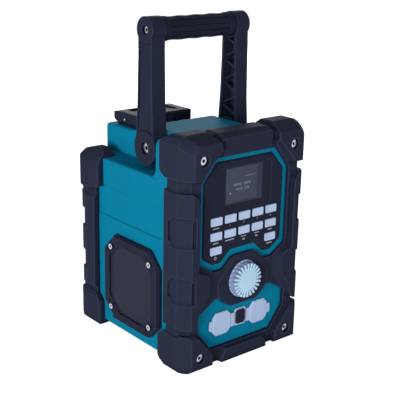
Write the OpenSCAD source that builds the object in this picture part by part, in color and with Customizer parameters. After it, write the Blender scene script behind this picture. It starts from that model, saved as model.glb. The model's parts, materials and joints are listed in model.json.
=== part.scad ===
// Jobsite radio with a folding handle, rubber bumpers and a slide battery that stands in a bay.
// Origin under the middle of the body on the ground, front towards -Y, up is +Z.

/* [Body] */
// Width over the bumpers
width = 166; // [160:1:172]
// Depth over the bumpers
depth = 190; // [187:1:196]
// Height of the bumpers above the ground
body_h = 244; // [242:1:250]
// Height of the ledges that the folded handle lies over
ledge_z = 194; // [192:0.5:195]
// Width of the narrow upper body between the handle arms
upper_w = 91; // [88:1:91]
// Thickness of the moulded shells
wall = 3; // [2.4:0.2:3.4]

/* [Handle] */
// Height of the grip's axis
grip_z = 335; // [322:1:346]
// Diameter of the grip
grip_d = 25; // [22:1:25]
// Thickness of each arm
arm_t = 17; // [15:0.5:17]

/* [Controls] */
// Width of a button
button_w = 14.5; // [12:0.5:15]
// Height of a button
button_h = 8.4; // [7:0.2:9]
// Travel of a button
button_travel = 1; // [0.6:0.1:1]
// Diameter of the knob's skirt
knob_d = 40; // [36:1:40]
// Number of flutes round the knob
knob_flutes = 24; // [18:1:28]

/* [Speakers] */
// Diameter of a speaker's cone opening
cone_d = 70; // [60:1:72]
// Width of the grille opening
grille_w = 76.6; // [72:0.2:78]
// Height of the grille opening
grille_h = 78; // [72:1:80]

/* [Battery] */
// Width of the battery's case
pack_w = 73; // [70:0.5:74]
// Length of the battery's case below its head
pack_len = 104; // [90:1:106]
// Travel of the battery's release button
release_travel = 2.5; // [1.5:0.5:3]

/* [Hidden] */
$fn = 48;

// colours
teal = [0.07, 0.45, 0.58];
black = [0.15, 0.16, 0.2];
pale = [0.66, 0.78, 0.92];
steel = [0.75, 0.76, 0.78];

// planes along the depth
hw = width / 2;
front_y = -depth / 2;
rear_y = depth / 2;
grip_y = front_y + 1;
rail_y = front_y + 4;
base_y = front_y + 6.5;
panel_y = front_y + 8.7;
ring_y = front_y + 10.5;
seam_y = front_y + 33;
step_y = front_y + 58;
shell_rear_y = rear_y - 5.5;
upper_rear_y = rear_y - 2;

// widths and heights
side_x = hw - 7.5;
base_x = hw - 2.5;
upper_x = upper_w / 2;
shell_z = 5;
top_z = body_h - 10.5;
low_top_z = body_h - 21.5;
rail_z = body_h - 2;
base_z = body_h - 4;
window_top = body_h - 24.7;
screw_x = 60.5;
screw_zs = [13.5, body_h - 23];
rear_screw_zs = [13.5, 176];
boss_screw_r = 6;

// handle
pivot_y = -2.5;
pivot_z = 215.5;
boss_r = 18;
cap_r = grip_d / 2 + 0.8;
arm_in = upper_x + 1.5;
arm_out = arm_in + arm_t;
pin_r = 4;

// speakers
spk_y = -0.5;
spk_z = 67;
frame_w = grille_w + 18;
frame_h = grille_h + 19;
spk_screw = [34.3, 35];
face_x = hw - 0.6;
tab_x = hw - 1.8;

// battery: its head over the deck, its case in the bay below
head_x = 38.5;
head_y0 = 46.7;
head_y1 = 91.5;
head_z0 = low_top_z + 1.2;
head_z1 = low_top_z + 14;
pack_x = pack_w / 2;
pack_y0 = 49;
pack_y1 = 87;
pack_z0 = head_z0 - pack_len;
pack_gap = 0.5;
bay_x = pack_x + pack_gap;
bay_y0 = pack_y0 - pack_gap;
bay_y1 = pack_y1 + pack_gap;
bay_z0 = pack_z0 - 6.5;
bay_wall = 1.8;
groove_y0 = 57;
groove_y1 = 62;
groove_depth = 3;
blade_xs = [-18, -6, 6, 18];
latch_x = 10.6;
latch_z0 = 200;
latch_z1 = head_z0 + 9;
latch_room = release_travel + 5.5;
pin_y = 70;
pin_z = head_z0 + 5.3;

// knob and keys
knob_z = 85;
key_dx = 18.65;
key_zs = [153.9, 138.3, 123.1];
keys = concat([for (c = [-2:2]) [c * key_dx, key_zs[0]]],
    [for (c = [-2:2]) [c * key_dx, key_zs[1]]],
    [[-2 * key_dx, key_zs[2]], [2 * key_dx, key_zs[2]]]);
port_z = 40.2;
port_xs = [-25.5, 25.5];

// ---------- helpers ----------
module both() {
    children();
    mirror([1, 0, 0]) children();
}

// polygon in (x, z) swept along y
module prism_y(pts, y0, y1) {
    translate([0, y1, 0]) rotate([90, 0, 0]) linear_extrude(height = y1 - y0) polygon(pts);
}

// polygon in (y, z) swept along x
module prism_x(pts, x0, x1) {
    translate([x0, 0, 0]) rotate([90, 0, 90]) linear_extrude(height = x1 - x0) polygon(pts);
}

// polygon in (x, y) swept along z
module prism_z(pts, z0, z1) {
    translate([0, 0, z0]) linear_extrude(height = z1 - z0) polygon(pts);
}

// cylinder along y and along x
module rod_y(x, z, r, y0, y1) {
    translate([x, y0, z]) rotate([-90, 0, 0]) cylinder(r = r, h = y1 - y0);
}
module rod_x(y, z, r, x0, x1) {
    translate([x0, y, z]) rotate([0, 90, 0]) cylinder(r = r, h = x1 - x0);
}

module box(x0, x1, y0, y1, z0, z1) {
    translate([x0, y0, z0]) cube([x1 - x0, y1 - y0, z1 - z0]);
}

// mirror half an outline, given from the middle outwards, to a whole one
function whole(pts) = let (h = [for (p = pts) if (p[0] > 0) p])
    concat(h, [for (i = [len(h) - 1:-1:0]) [-h[i][0], h[i][1]]]);

// round every corner of an outline with a short curve of size r
function unit(v) = v / norm(v);
function soft(pts, r, n = 3) = [for (i = [0:len(pts) - 1])
    let (v = pts[i], a = pts[(i + len(pts) - 1) % len(pts)], b = pts[(i + 1) % len(pts)],
        ra = min(r, norm(a - v) * 0.45), rb = min(r, norm(b - v) * 0.45),
        p = v + unit(a - v) * ra, q = v + unit(b - v) * rb)
    for (k = [0:n]) let (t = k / n) p * (1 - t) * (1 - t) + v * 2 * t * (1 - t) + q * t * t];

// octagon of half sizes a and b with corners cut by c
function octagon(a, b, c) = [[a, -b + c], [a, b - c], [a - c, b], [-a + c, b],
    [-a, b - c], [-a, -b + c], [-a + c, -b], [a - c, -b]];
function moved(pts, d) = [for (p = pts) p + d];

// anticlockwise outline moved inwards by b, with mitred corners
function turn(v) = [-v[1], v[0]];
function inset(pts, b) = [for (i = [0:len(pts) - 1])
    let (v = pts[i], a = pts[(i + len(pts) - 1) % len(pts)], c = pts[(i + 1) % len(pts)],
        m = turn(unit(v - a)), n = turn(unit(c - v)))
    v + (m + n) * b / (1 + m * n)];

// bevelled slab from a convex outline: b is the bevel's width, from y0 to y1
module bevelled(pts, b, y0, y1) {
    hull() {
        prism_y(inset(pts, b), y0, y0 + 0.01);
        prism_y(pts, y1 - 0.01, y1);
    }
}

// ---------- outlines ----------
// half of the upper window of the front bumper, from the middle of its foot
upper_window = [[0, 113.2], [13, 113.2], [17, 111.4], [27.5, 102], [31, 101.2], [41, 101.2],
    [57.5, 111.6], [59.2, 114.5], [59.2, window_top - 23], [41, window_top], [0, window_top]];
// half of the lower window
lower_window = [[0, 15.8], [42, 15.8], [60, 39.5], [60, 58], [38, 71.2], [32, 71.2], [22, 61.5],
    [17, 58.8], [0, 58.8]];
// half of the control panel's foot
panel_foot = [[0, 119.7], [15, 119.7], [18, 118.2], [28, 108.8], [31, 107.8], [40, 107.8],
    [52, 115.8], [54, 119], [54, window_top - 24], [37.5, window_top - 4.6], [0, window_top - 4.6]];

// plan of the housing's front part with chamfered corners, g inside its skin
function shell_plan(g, y1) = whole([[0, ring_y + g], [side_x - 7 - g * 0.4, ring_y + g],
    [side_x - g, ring_y + 7 + g * 0.4], [side_x - g, y1], [0, y1]]);
function shell_front(g, top) = soft([[-side_x + g, shell_z + g], [side_x - g, shell_z + g],
    [side_x - g, top - g], [-side_x + g, top - g]], 8);

// full-height front part of the housing, g inside its skin, up to y1
module shell_head(g, y1) {
    intersection() {
        prism_z(shell_plan(g, y1), 0, body_h);
        prism_y(shell_front(g, top_z), front_y, y1);
    }
}

// ---------- housings ----------
module front_housing() {
    color(teal) difference() {
        union() {
            difference() {
                shell_head(0, seam_y);
                shell_head(wall, seam_y + 1);
            }
            for (x = [-screw_x, screw_x]) for (z = screw_zs)
                rod_y(x, z, boss_screw_r, ring_y + 1, seam_y);
            // rim that the control panel seats on
            prism_y(inset(whole(panel_foot), -2), ring_y + 1, ring_y + 6.5);
        }
        // seat and opening of the control panel
        prism_y(whole(panel_foot), ring_y - 1, ring_y + 3);
        prism_y(inset(whole(panel_foot), 3.5), ring_y + 2, ring_y + 8);
        for (x = [-screw_x, screw_x]) for (z = screw_zs)
            rod_y(x, z, 2.2, ring_y - 1, seam_y + 1);
        // knob shaft and the sockets' openings
        rod_y(0, knob_z, 5, ring_y - 1, ring_y + wall + 1);
        box(port_xs[1] - 7, port_xs[1] + 7, ring_y - 1, ring_y + wall + 1, port_z - 3.6, port_z + 3.6);
        rod_y(port_xs[0], port_z, 4.5, ring_y - 1, ring_y + wall + 1);
        // hole for the clamp plate's post
        rod_y(0, port_z, post_r + 0.1, ring_y - 1, ring_y + wall + 1);
    }
}
// top line of the upper body: flat, a soft ramp behind, then the low part with the lid
ramp_y0 = 14;
ramp_y1 = 47;
function ramp(g) = [for (k = [0:8]) let (t = k / 8)
    [ramp_y0 + (ramp_y1 - ramp_y0) * t - g * 0.5,
        low_top_z + (top_z - low_top_z) * (0.5 + 0.5 * cos(180 * t)) - g]];

module upper_body(g, y0) {
    // low part
    prism_y(soft([[-upper_x + g, ledge_z - 8], [upper_x - g, ledge_z - 8],
        [upper_x - g, low_top_z - g], [-upper_x + g, low_top_z - g]], 4), y0, upper_rear_y - g);
    // raised part in front with the ramp
    intersection() {
        prism_x(concat([[y0, ledge_z - 8], [y0, top_z - g]], ramp(g),
            [[ramp_y1 + 1, ledge_z - 8]]), -upper_x, upper_x);
        prism_y(soft([[-upper_x + g, ledge_z - 8], [upper_x - g, ledge_z - 8],
            [upper_x - g, top_z - g], [-upper_x + g, top_z - g]], 4), y0 - 1, ramp_y1 + 1);
    }
}

module lower_body(g, y0) {
    intersection() {
        prism_z(soft([[-side_x + g, y0], [side_x - g, y0], [side_x - g, shell_rear_y - g],
            [-side_x + g, shell_rear_y - g]], 6), shell_z + g, ledge_z - g);
        prism_y(soft([[-side_x + g, shell_z + g], [side_x - g, shell_z + g],
            [side_x - g, ledge_z - g], [-side_x + g, ledge_z - g]], 2.5), y0, shell_rear_y);
    }
}

// fillet between a ledge and the wall in front of it
module ledge_fillet() {
    r = 9;
    intersection() {
        difference() {
            box(upper_x - 1, side_x, step_y - 1, step_y + r, ledge_z - 0.5, ledge_z + r);
            rod_x(step_y + r, ledge_z + r, r, upper_x - 2, side_x + 1);
        }
        prism_y(shell_front(0, top_z), step_y - 2, step_y + r + 1);
    }
}

module rear_housing() {
    color(teal) difference() {
        union() {
            difference() {
                union() {
                    difference() {
                        shell_head(0, step_y);
                        box(-hw, hw, front_y, seam_y, 0, body_h);
                    }
                    lower_body(0, step_y - 10);
                    upper_body(0, step_y - 10);
                    both() ledge_fillet();
                }
                difference() {
                    shell_head(wall, step_y - wall);
                    box(-hw, hw, front_y, seam_y - 1, 0, body_h);
                }
                lower_body(wall, step_y - wall - 8);
                upper_body(wall, step_y - wall - 1);
            }
            // walls of the battery bay
            box(-bay_x - bay_wall, bay_x + bay_wall, bay_y0 - bay_wall, shell_rear_y - 1,
                bay_z0 - bay_wall, low_top_z - 1);
            box(-bay_x - bay_wall, bay_x + bay_wall, bay_y1, upper_rear_y - 1, ledge_z - 2, low_top_z - 1);
            // blind bosses of the handle's pivots
            both() rod_x(pivot_y, pivot_z, 9, upper_x - 14, upper_x);
            for (x = [-screw_x, screw_x]) for (z = rear_screw_zs)
                rod_y(x, z, boss_screw_r, shell_rear_y - 24, shell_rear_y - 1);
        }
        difference() {
            box(-bay_x, bay_x, bay_y0, bay_y1, bay_z0, body_h);
            // ribs that run in the battery's grooves
            both() box(bay_x - groove_depth + 0.1, bay_x + 1, groove_y0 + 0.5, groove_y1 - 0.5,
                bay_z0, low_top_z - 4);
        }
        // notch for the battery's latch
        box(-latch_x, latch_x, bay_y0 - 1, bay_y0 + 1, latch_z0 - 1, latch_z0 + 7);
        both() {
            rod_x(pivot_y, pivot_z, pin_r + 0.1, upper_x - 10, upper_x + 1);
            rod_x(spk_y, spk_z, cone_d / 2 + 1, side_x - 6, side_x + 1);
            // shallow band along the side
            box(side_x - 0.8, side_x + 1, front_y + 49, rear_y - 28, 131, 165);
            for (y = [-1, 1]) for (z = [-1, 1])
                rod_x(spk_y + y * spk_screw[0], spk_z + z * spk_screw[1], 1.6, side_x - 6, side_x + 1);
        }
        for (x = [-screw_x, screw_x]) for (z = rear_screw_zs)
            rod_y(x, z, 2.2, shell_rear_y - 20, rear_y);
    }
}

// ---------- bumpers ----------
// plan of a bumper part: front face at y0, bulged corner, side at x1, back edge at y1
function guard_plan(y0, x1, y1, cx, cy) = whole([[x1 - cx, y0], [x1 - cx * 0.46, y0 + cy * 0.42],
    [x1, y0 + cy], [x1, y1 - 5], [x1 - 1.5, y1], [0.1, y1]]);

// thin layer under the raised segments
module guard_base() {
    intersection() {
        prism_z(guard_plan(base_y, base_x, front_y + 35, 9, 11.5), 0, body_h);
        prism_y(whole([[base_x - 5, 0.5], [base_x, 5], [base_x, base_z - 6.5], [base_x - 7, base_z]]),
            front_y, 0);
        prism_x([[front_y + 36, 0], [base_y, 0], [base_y, base_z - 4.5], [front_y + 18, base_z],
            [front_y + 36, base_z]], -hw, hw);
    }
}

// upper corner block
module block_top() {
    intersection() {
        prism_z(guard_plan(front_y, hw, front_y + 45, 10, 14), 150, body_h);
        prism_y([[43.5, body_h], [38.6, body_h - 9], [38.2, body_h - 19.5], [56.5, body_h - 42],
            [hw, body_h - 42], [hw, body_h - 15], [hw - 1.2, body_h - 8.5], [hw - 4.5, body_h - 3.5],
            [hw - 9.5, body_h - 0.7], [hw - 13, body_h]], front_y, 0);
        prism_x(soft([[front_y + 45, body_h - 36], [front_y + 45, body_h - 9], [front_y + 35, body_h],
            [front_y + 17, body_h], [front_y, body_h - 8], [front_y, body_h - 43],
            [front_y + 33, body_h - 43]], 2), 0, hw);
        // rounding of the outer top corner, as an outline across the diagonal
        rotate([0, 0, -45]) prism_y([[0, 150], [120, 150], [120, body_h - 18], [118.2, body_h - 13],
            [115.6, body_h - 9], [112.4, body_h - 5], [107, body_h], [0, body_h]], -hw, hw);
    }
}

// lower corner block
module block_bottom() {
    top = 40.2;
    intersection() {
        prism_z(guard_plan(front_y, hw, front_y + 46, 10, 14), 0, 60);
        prism_y([[44.5, 0], [44.5, 13.5], [61, 33.5], [64.5, 37], [68, top], [hw - 3.5, top],
            [hw, top - 3.2], [hw, 1.5], [hw - 2, 0]], front_y, 0);
        prism_x(soft([[front_y + 46, 8], [front_y + 46, 32], [front_y + 32, top],
            [front_y + 4.5, top], [front_y, top - 3.4], [front_y, 2], [front_y + 2.5, 0],
            [front_y + 30, 0]], 1.5), 0, hw);
    }
}

// long raised grip on a side bar, with shallow windows that wrap round the corner
grip_z0 = 47;
grip_z1 = body_h - 54.5;
window_x = 68.7;
window_y = front_y + 25.5;
window_depth = 1.3;
side_windows = [[74.5, 102.5], [134, 165]];
module side_window(z0, z1) {
    cut = 4;
    difference() {
        prism_x([[front_y - 1, z0], [window_y - cut, z0], [window_y, z0 + cut], [window_y, z1 - cut],
            [window_y - cut, z1], [front_y - 1, z1]], window_x, hw + 1);
        prism_z(guard_plan(grip_y + window_depth, hw - window_depth, front_y + 37, 9.6, 12.6), 0, body_h);
    }
    // deeper slots at the window's two ends
    box(hw - 3.8, hw + 1, window_y - 0.3, window_y + 3.1, z0 + cut + 1, z1 - cut - 2);
    box(window_x, window_x + 3.5, front_y - 1, grip_y + 2.5, z0 + 1, z1 - cut);
}
module side_grip() {
    difference() {
        intersection() {
            prism_z(guard_plan(grip_y, hw, front_y + 37, 10, 13), 40, 200);
            prism_y([[64.5, grip_z0 + 6], [67, grip_z0 + 2], [70, grip_z0], [hw - 1.5, grip_z0],
                [hw, grip_z0 + 1.5], [hw, grip_z1 - 1.5], [hw - 1.5, grip_z1], [73, grip_z1],
                [68.8, grip_z1 - 2.8], [64.5, grip_z1 - 8.5]], front_y, 0);
        }
        for (w = side_windows) side_window(w[0], w[1]);
    }
}

// tooth that reaches inwards beside the knob
module knob_tooth() {
    hull() {
        prism_y([[66, 60], [58, 71], [50.5, 81.5], [50.5, 96], [52.5, 101], [57, 104], [67, 106.5]],
            grip_y, grip_y + 0.4);
        prism_y([[66, 50], [64.6, 53], [56.4, 64], [42, 79], [41.2, 91], [42, 96.5], [46.6, 101.8],
            [66, 110]], base_y - 0.2, base_y);
    }
}

// raised rail over the display and raised foot under the ports
module rails() {
    hull() {
        prism_x([[base_y, window_top], [base_y, base_z - 4.5], [front_y + 18, base_z],
            [front_y + 34, base_z], [front_y + 34, window_top]], -36.5, 36.5);
        prism_x([[rail_y, window_top], [rail_y, rail_z - 3.3], [front_y + 14.5, rail_z],
            [front_y + 33, rail_z], [front_y + 33, window_top]], -30.5, 30.5);
    }
    hull() {
        prism_y(whole([[33, 0.5], [32, 7], [27, 14]]), base_y - 0.1, base_y + 1);
        prism_y(whole([[31.5, 0.5], [30.5, 6.5], [25, 14]]), front_y + 0.5, front_y + 1);
    }
}

knob_ring = whole([[19.5, 58.3], [35, 71.5], [35, 89], [25, 100.5], [14, 110.5]]);

module front_bumper() {
    color(black) difference() {
        union() {
            guard_base();
            both() {
                block_top();
                block_bottom();
                side_grip();
                knob_tooth();
            }
            rails();
            prism_y(knob_ring, base_y - 1, base_y);
        }
        shell_head(0, 0);
        prism_y(whole(upper_window), front_y - 1, ring_y + 1);
        prism_y(whole(lower_window), front_y - 1, ring_y + 1);
        for (x = [-screw_x, screw_x]) for (z = screw_zs) {
            rod_y(x, z, 5.5, front_y - 1, front_y + 5.6);
            rod_y(x, z, 2.6, front_y, ring_y + 1);
        }
        rod_y(0, knob_z, knob_d / 2 + 0.8, front_y - 1, base_y + 2);
        rod_y(0, knob_z, 6, front_y, ring_y + 1);
    }
}

// rear bumper: corner caps that climb over the ledges, side bars, feet and two cross bars
cap_side = [[57, 163], [72, 159.5], [85, 157.7], [rear_y - 3, 160], [rear_y, 166], [rear_y, 191],
    [92.5, 198.5], [80, 202.3], [75, 202.8], [70, 202.5], [66, 201], [60, 198.7], [57, 196.5]];
cap_front = [[60.5, 150], [hw, 150], [hw, 185], [hw - 1, 188.5], [hw - 2.6, 191.5], [hw - 5, 194.5],
    [74, 198], [69, 201], [64.5, 202.6], [61.3, 202.8], [60.5, 202]];
module rear_cap() {
    intersection() {
        prism_x(cap_side, 50, hw);
        prism_y(cap_front, 50, rear_y);
        prism_z([[60.5, 57], [hw - 1, 57], [hw, 58], [hw, rear_y - 4.5], [hw - 2.5, rear_y],
            [60.5, rear_y]], 140, 210);
    }
    // plate behind the body that takes the upper screw
    prism_y([[52, 165.5], [78, 162], [78, 190], [52, 188]], shell_rear_y - 1, rear_y - 0.5);
}

post_z0 = 36;
post_z1 = 160;
rear_windows = [[61.5, 82.5], [110.8, 132]];
module rear_post() {
    difference() {
        union() {
            prism_z([[79, 66], [79, rear_y - 3], [77.3, rear_y - 0.8], [58, rear_y - 0.8],
                [58, shell_rear_y - 1], [side_x - 1, shell_rear_y - 1], [side_x - 1, 66]], post_z0, post_z1);
            // raised ridge round the corner
            intersection() {
                prism_z([[77, 65.5], [hw, 65.5], [hw, 80.5], [79.7, rear_y - 2], [77.5, rear_y],
                    [66, rear_y], [66, 90], [77, 90]], post_z0, post_z1);
                prism_y([[60, 42], [79, 42], [hw, 46], [hw, 148], [79, 152], [60, 152]], 60, rear_y + 1);
            }
        }
        for (w = rear_windows) difference() {
            box(70, hw + 1, 82, rear_y + 1, w[0], w[1]);
            prism_z([[hw - 2, 60], [hw - 2, 80], [78, rear_y - 3.4], [76.8, rear_y - 2], [0, rear_y - 2],
                [0, 60]], 0, body_h);
        }
    }
}
module rear_foot() {
    intersection() {
        prism_z([[66, 57], [hw - 2, 57], [hw, 58.5], [hw, rear_y - 5.5], [hw - 1.8, rear_y - 1.8],
            [hw - 4.5, rear_y], [48, rear_y], [48, shell_rear_y - 6], [66, 76]], 0, 60);
        prism_y([[48, 0], [48, 14], [60, 30], [66, 37], [80.5, 37], [hw, 32.5], [hw, 2], [hw - 2, 0]],
            0, rear_y + 1);
        prism_x([[58.5, 0], [rear_y - 13, 0], [rear_y - 6.5, 1.8], [rear_y - 2.4, 5.5], [rear_y, 11],
            [rear_y, 38], [70, 38], [62, 33.5], [57, 27.5], [57, 1.5]], 0, hw);
    }
}
module rear_bumper() {
    color(black) difference() {
        union() {
            both() {
                rear_post();
                rear_cap();
                rear_foot();
            }
            // cross bars and the lower rail under the body
            prism_y(soft([[-56, 166], [56, 166], [56, 188], [-56, 188]], 2), shell_rear_y - 1, rear_y - 1);
            prism_y(soft([[-60, 2], [60, 2], [60, 26], [-60, 26]], 2), shell_rear_y - 9, rear_y - 1);
        }
        lower_body(0, step_y);
        upper_body(0, step_y);
        for (x = [-screw_x, screw_x]) for (z = rear_screw_zs) {
            rod_y(x, z, 5.5, rear_y - 4, rear_y + 1);
            rod_y(x, z, 2.6, shell_rear_y - 2, rear_y + 1);
        }
    }
}

// ---------- control panel ----------
display_x = 2.6;
display_z = 185;
lens_out = soft([[-36, 160.5], [36, 160.5], [36, 207], [-36, 207]], 5);

// convex parts of the panel's foot: the main field and one lower wing
panel_main = whole([[0, 119.7], [54, 119.7], [54, window_top - 24], [37.5, window_top - 4.6],
    [0, window_top - 4.6]]);
panel_wing = [[18, 118.2], [28, 108.8], [31, 107.8], [40, 107.8], [52, 115.8], [54, 119],
    [54, 150], [18, 150]];
bevel_w = 2.6;
bevel_y = panel_y + 1.8;

module control_panel() {
    color(black) difference() {
        union() {
            prism_y(whole(panel_foot), bevel_y, ring_y + 3);
            bevelled(panel_main, bevel_w, panel_y, bevel_y);
            both() bevelled(panel_wing, bevel_w, panel_y, bevel_y);
        }
        // pocket of the lens and the display's opening
        prism_y(lens_out, panel_y - 1, panel_y + 1.4);
        box(display_x - 26.5, display_x + 26.5, panel_y, ring_y + 4, display_z - 20.5, display_z + 20.5);
        for (k = keys)
            box(k[0] - button_w / 2 - 0.3, k[0] + button_w / 2 + 0.3, panel_y - 1, ring_y + 4,
                k[1] - button_h / 2 - 0.3, k[1] + button_h / 2 + 0.3);
    }
}

module display_lens() {
    color([0.2, 0.22, 0.28]) prism_y(lens_out, panel_y + 0.4, panel_y + 1.4);
}

module display_module() {
    x0 = display_x - 30;
    x1 = display_x + 30;
    color([0.3, 0.33, 0.4]) {
        box(display_x - 26, display_x + 26, ring_y + 1, ring_y + 3, display_z - 20, display_z + 20);
        box(x0, x1, ring_y + 3, ring_y + 5, display_z - 23, display_z + 23);
    }
}

// board with the tact switches behind the panel
key_board_y = ring_y + 6.2 + button_travel;
module key_board() {
    color([0.1, 0.35, 0.2]) {
        difference() {
            prism_y(whole([[0, 121], [18, 121], [31, 113], [44, 113], [49, 120], [49, 205], [0, 205]]),
                key_board_y, key_board_y + 1.6);
            rod_y(0, 150, 1.6, key_board_y - 1, key_board_y + 3);
        }
        for (k = keys) {
            box(k[0] - 3, k[0] + 3, key_board_y - 1.4, key_board_y, k[1] - 3, k[1] + 3);
            rod_y(k[0], k[1], 1.5, key_board_y - 2, key_board_y - 1.4);
        }
    }
}

module button(i) {
    k = keys[i];
    y1 = ring_y + 4.1;
    color(pale) {
        difference() {
            prism_y(moved(soft([[-button_w / 2, -button_h / 2], [button_w / 2, -button_h / 2],
                [button_w / 2, button_h / 2], [-button_w / 2, button_h / 2]], 1.2), k),
                panel_y - 1.2, ring_y + 3.2);
            // shallow dish in the cap
            translate([k[0], panel_y - 1.2 - 39.5, k[1]]) rotate([90, 0, 90])
                cylinder(r = 39.8, h = button_w - 3, center = true, $fn = 96);
        }
        // flange that keeps the button behind the panel
        box(k[0] - button_w / 2 - 1.2, k[0] + button_w / 2 + 1.2, ring_y + 3.2, y1,
            k[1] - button_h / 2 - 1.2, k[1] + button_h / 2 + 1.2);
    }
}

// ---------- knob ----------
knob_y0 = front_y - 1.5;
knob_y1 = base_y + 1.4;
module volume_knob() {
    r = knob_d / 2;
    color(pale) difference() {
        translate([0, knob_y1, knob_z]) rotate([90, 0, 0]) rotate_extrude($fn = 96)
            polygon([[0, 0], [r, 0], [r, 1.5], [r - 0.9, 2], [r - 1.8, knob_y1 - knob_y0 - 0.9],
                [r - 2.7, knob_y1 - knob_y0], [0, knob_y1 - knob_y0]]);
        for (i = [0:knob_flutes - 1]) rotate_knob(i * 360 / knob_flutes) {
            // flute down the side and groove across the face
            translate([r - 0.9, knob_y0 - 1, 0]) rotate([-90, 0, 0])
                cylinder(r = 1.4, h = knob_y1 - knob_y0 - 1.4, $fn = 12);
            translate([r * 0.6, knob_y0 - 0.3, 0]) rotate([0, 90, 0])
                cylinder(r = 1.1, h = r, $fn = 12);
        }
        rod_y(0, knob_z, 3.1, knob_y0 + 4, knob_y1 + 1);
        // hollow under the face
        difference() {
            rod_y(0, knob_z, r - 4.5, knob_y0 + 3, knob_y1 + 1);
            rod_y(0, knob_z, 5, knob_y0 + 2, knob_y1 + 2);
        }
    }
}
module rotate_knob(a) {
    translate([0, 0, knob_z]) rotate([0, a, 0]) children();
}
module encoder_shaft() {
    color(steel) rod_y(0, knob_z, 3, knob_y0 + 4, ring_y + 12);
}
module encoder() {
    color([0.35, 0.38, 0.4]) difference() {
        union() {
            rod_y(0, knob_z, 4.8, ring_y + 0.5, ring_y + 5);
            box(-7, 7, ring_y + 3.6, ring_y + 13.5, knob_z - 7, knob_z + 7);
            box(-14, 14, ring_y + 13.5, ring_y + 15.1, knob_z - 14, knob_z + 14);
        }
        rod_y(0, knob_z, 3.15, ring_y, ring_y + 12.3);
    }
}

// ---------- ports ----------
cover_y = ring_y - 2.2;
strap_y = ring_y - 1.1;
post_r = 1.4;
module port_cover(s) {
    color(pale) mirror([s < 0 ? 0 : 1, 0, 0]) {
        plate = moved(octagon(12.6, 12.8, 5), [-25.9, port_z]);
        bevelled(plate, 1.1, cover_y, cover_y + 0.9);
        prism_y(plate, cover_y + 0.9, ring_y - 0.2);
        // pull tab
        prism_y(soft([[-42.6, port_z - 5.5], [-37, port_z - 5.5], [-37, port_z + 5.5],
            [-42.6, port_z + 5.5]], 2), cover_y + 0.4, ring_y - 0.6);
        // thin web to the hinge line
        box(-14, -8.6, ring_y - 1.6, ring_y - 0.4, port_z - 7.4, port_z + 7.4);
        // plug behind the cover
        rod_y(port_xs[0], port_z, s < 0 ? 3.9 : 3, ring_y - 0.3, ring_y + 2);
    }
}
// root that the covers' webs grow from, under the clamp plate
module port_strap() {
    color(pale) difference() {
        prism_y(moved(soft(octagon(8, 9.6, 2), 0.8), [0, port_z + 1]), strap_y, ring_y);
        rod_y(0, port_z, post_r + 0.1, strap_y - 1, ring_y + 1);
    }
}
module port_clamp() {
    color(black) {
        bevelled(moved(octagon(6.6, 8.2, 2.4), [0, port_z + 1]), 0.6, cover_y, strap_y);
        rod_y(0, port_z, post_r, strap_y - 0.5, ring_y + wall + 1.5);
    }
}
module aux_socket() {
    x = port_xs[0];
    color([0.12, 0.12, 0.13]) difference() {
        union() {
            rod_y(x, port_z, 4.4, ring_y + 2.2, ring_y + 4);
            box(x - 6, x + 6, ring_y + wall, ring_y + 16, port_z - 5.5, port_z + 5.5);
        }
        rod_y(x, port_z, 1.8, ring_y, ring_y + 14.5);
    }
}
module usb_socket() {
    x = port_xs[1];
    color(steel) difference() {
        box(x - 6.9, x + 6.9, ring_y + 2.2, ring_y + 16, port_z - 3.5, port_z + 3.5);
        box(x - 6.2, x + 6.2, ring_y + 1, ring_y + 14.6, port_z - 2.7, port_z + 2.7);
    }
    color([0.9, 0.9, 0.92]) box(x - 5.6, x + 5.6, ring_y + 6, ring_y + 14.6, port_z - 0.1, port_z + 1.7);
}
module main_board() {
    color([0.1, 0.35, 0.2]) {
        box(-48, 48, ring_y + 19, ring_y + 20.6, 14, 108);
        box(-30, -6, ring_y + 20.6, ring_y + 30, 60, 84);
        rod_y(22, 74, 6, ring_y + 20.6, ring_y + 34);
        box(-8, 14, ring_y + 20.6, ring_y + 24, 24, 44);
    }
}

// ---------- speakers ----------
module speaker_frame(s) {
    c = [spk_y, spk_z];
    color(black) mirror([s < 0 ? 1 : 0, 0, 0]) difference() {
        // straight wall with a bevelled rim
        hull() {
            prism_x(moved(octagon(frame_w / 2 + 0.6, frame_h / 2 + 0.6, 17), c), side_x, side_x + 3.3);
            prism_x(moved(octagon(frame_w / 2 - 1.3, frame_h / 2 - 1.3, 16.4), c), face_x - 0.1, face_x);
        }
        prism_x(moved(octagon(grille_w / 2, grille_h / 2, 17), c), side_x + 4.4, hw + 1);
        prism_x(moved(octagon(grille_w / 2 + 1.6, grille_h / 2 + 1.6, 17), c), side_x - 1, side_x + 4.4);
        for (y = [-1, 1]) for (z = [-1, 1])
            translate([0, spk_y + y * spk_screw[0], spk_z + z * spk_screw[1]]) {
                rod_x(0, 0, 1.8, side_x - 1, hw + 1);
                // lowered tab round the screw
                rotate([y * z * 45, 0, 0]) translate([tab_x, -8.5, -9]) cube([3, 17, 18]);
            }
    }
}
module speaker_grille(s) {
    c = [spk_y, spk_z];
    pitch = 7;
    row = pitch * sqrt(3) / 2;
    color(black) mirror([s < 0 ? 1 : 0, 0, 0]) difference() {
        prism_x(moved(octagon(grille_w / 2 + 1.4, grille_h / 2 + 1.4, 17), c), side_x + 3.4, side_x + 4.4);
        for (j = [-5:5]) for (i = [-5:5]) let (y = (i + abs(j) % 2 / 2) * pitch, z = j * row)
            if (abs(y) < 36 && abs(y) + abs(z) < 56)
                rod_x(spk_y + y, spk_z + z, 2.6, side_x + 3, side_x + 5, $fn = 6);
    }
}
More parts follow.
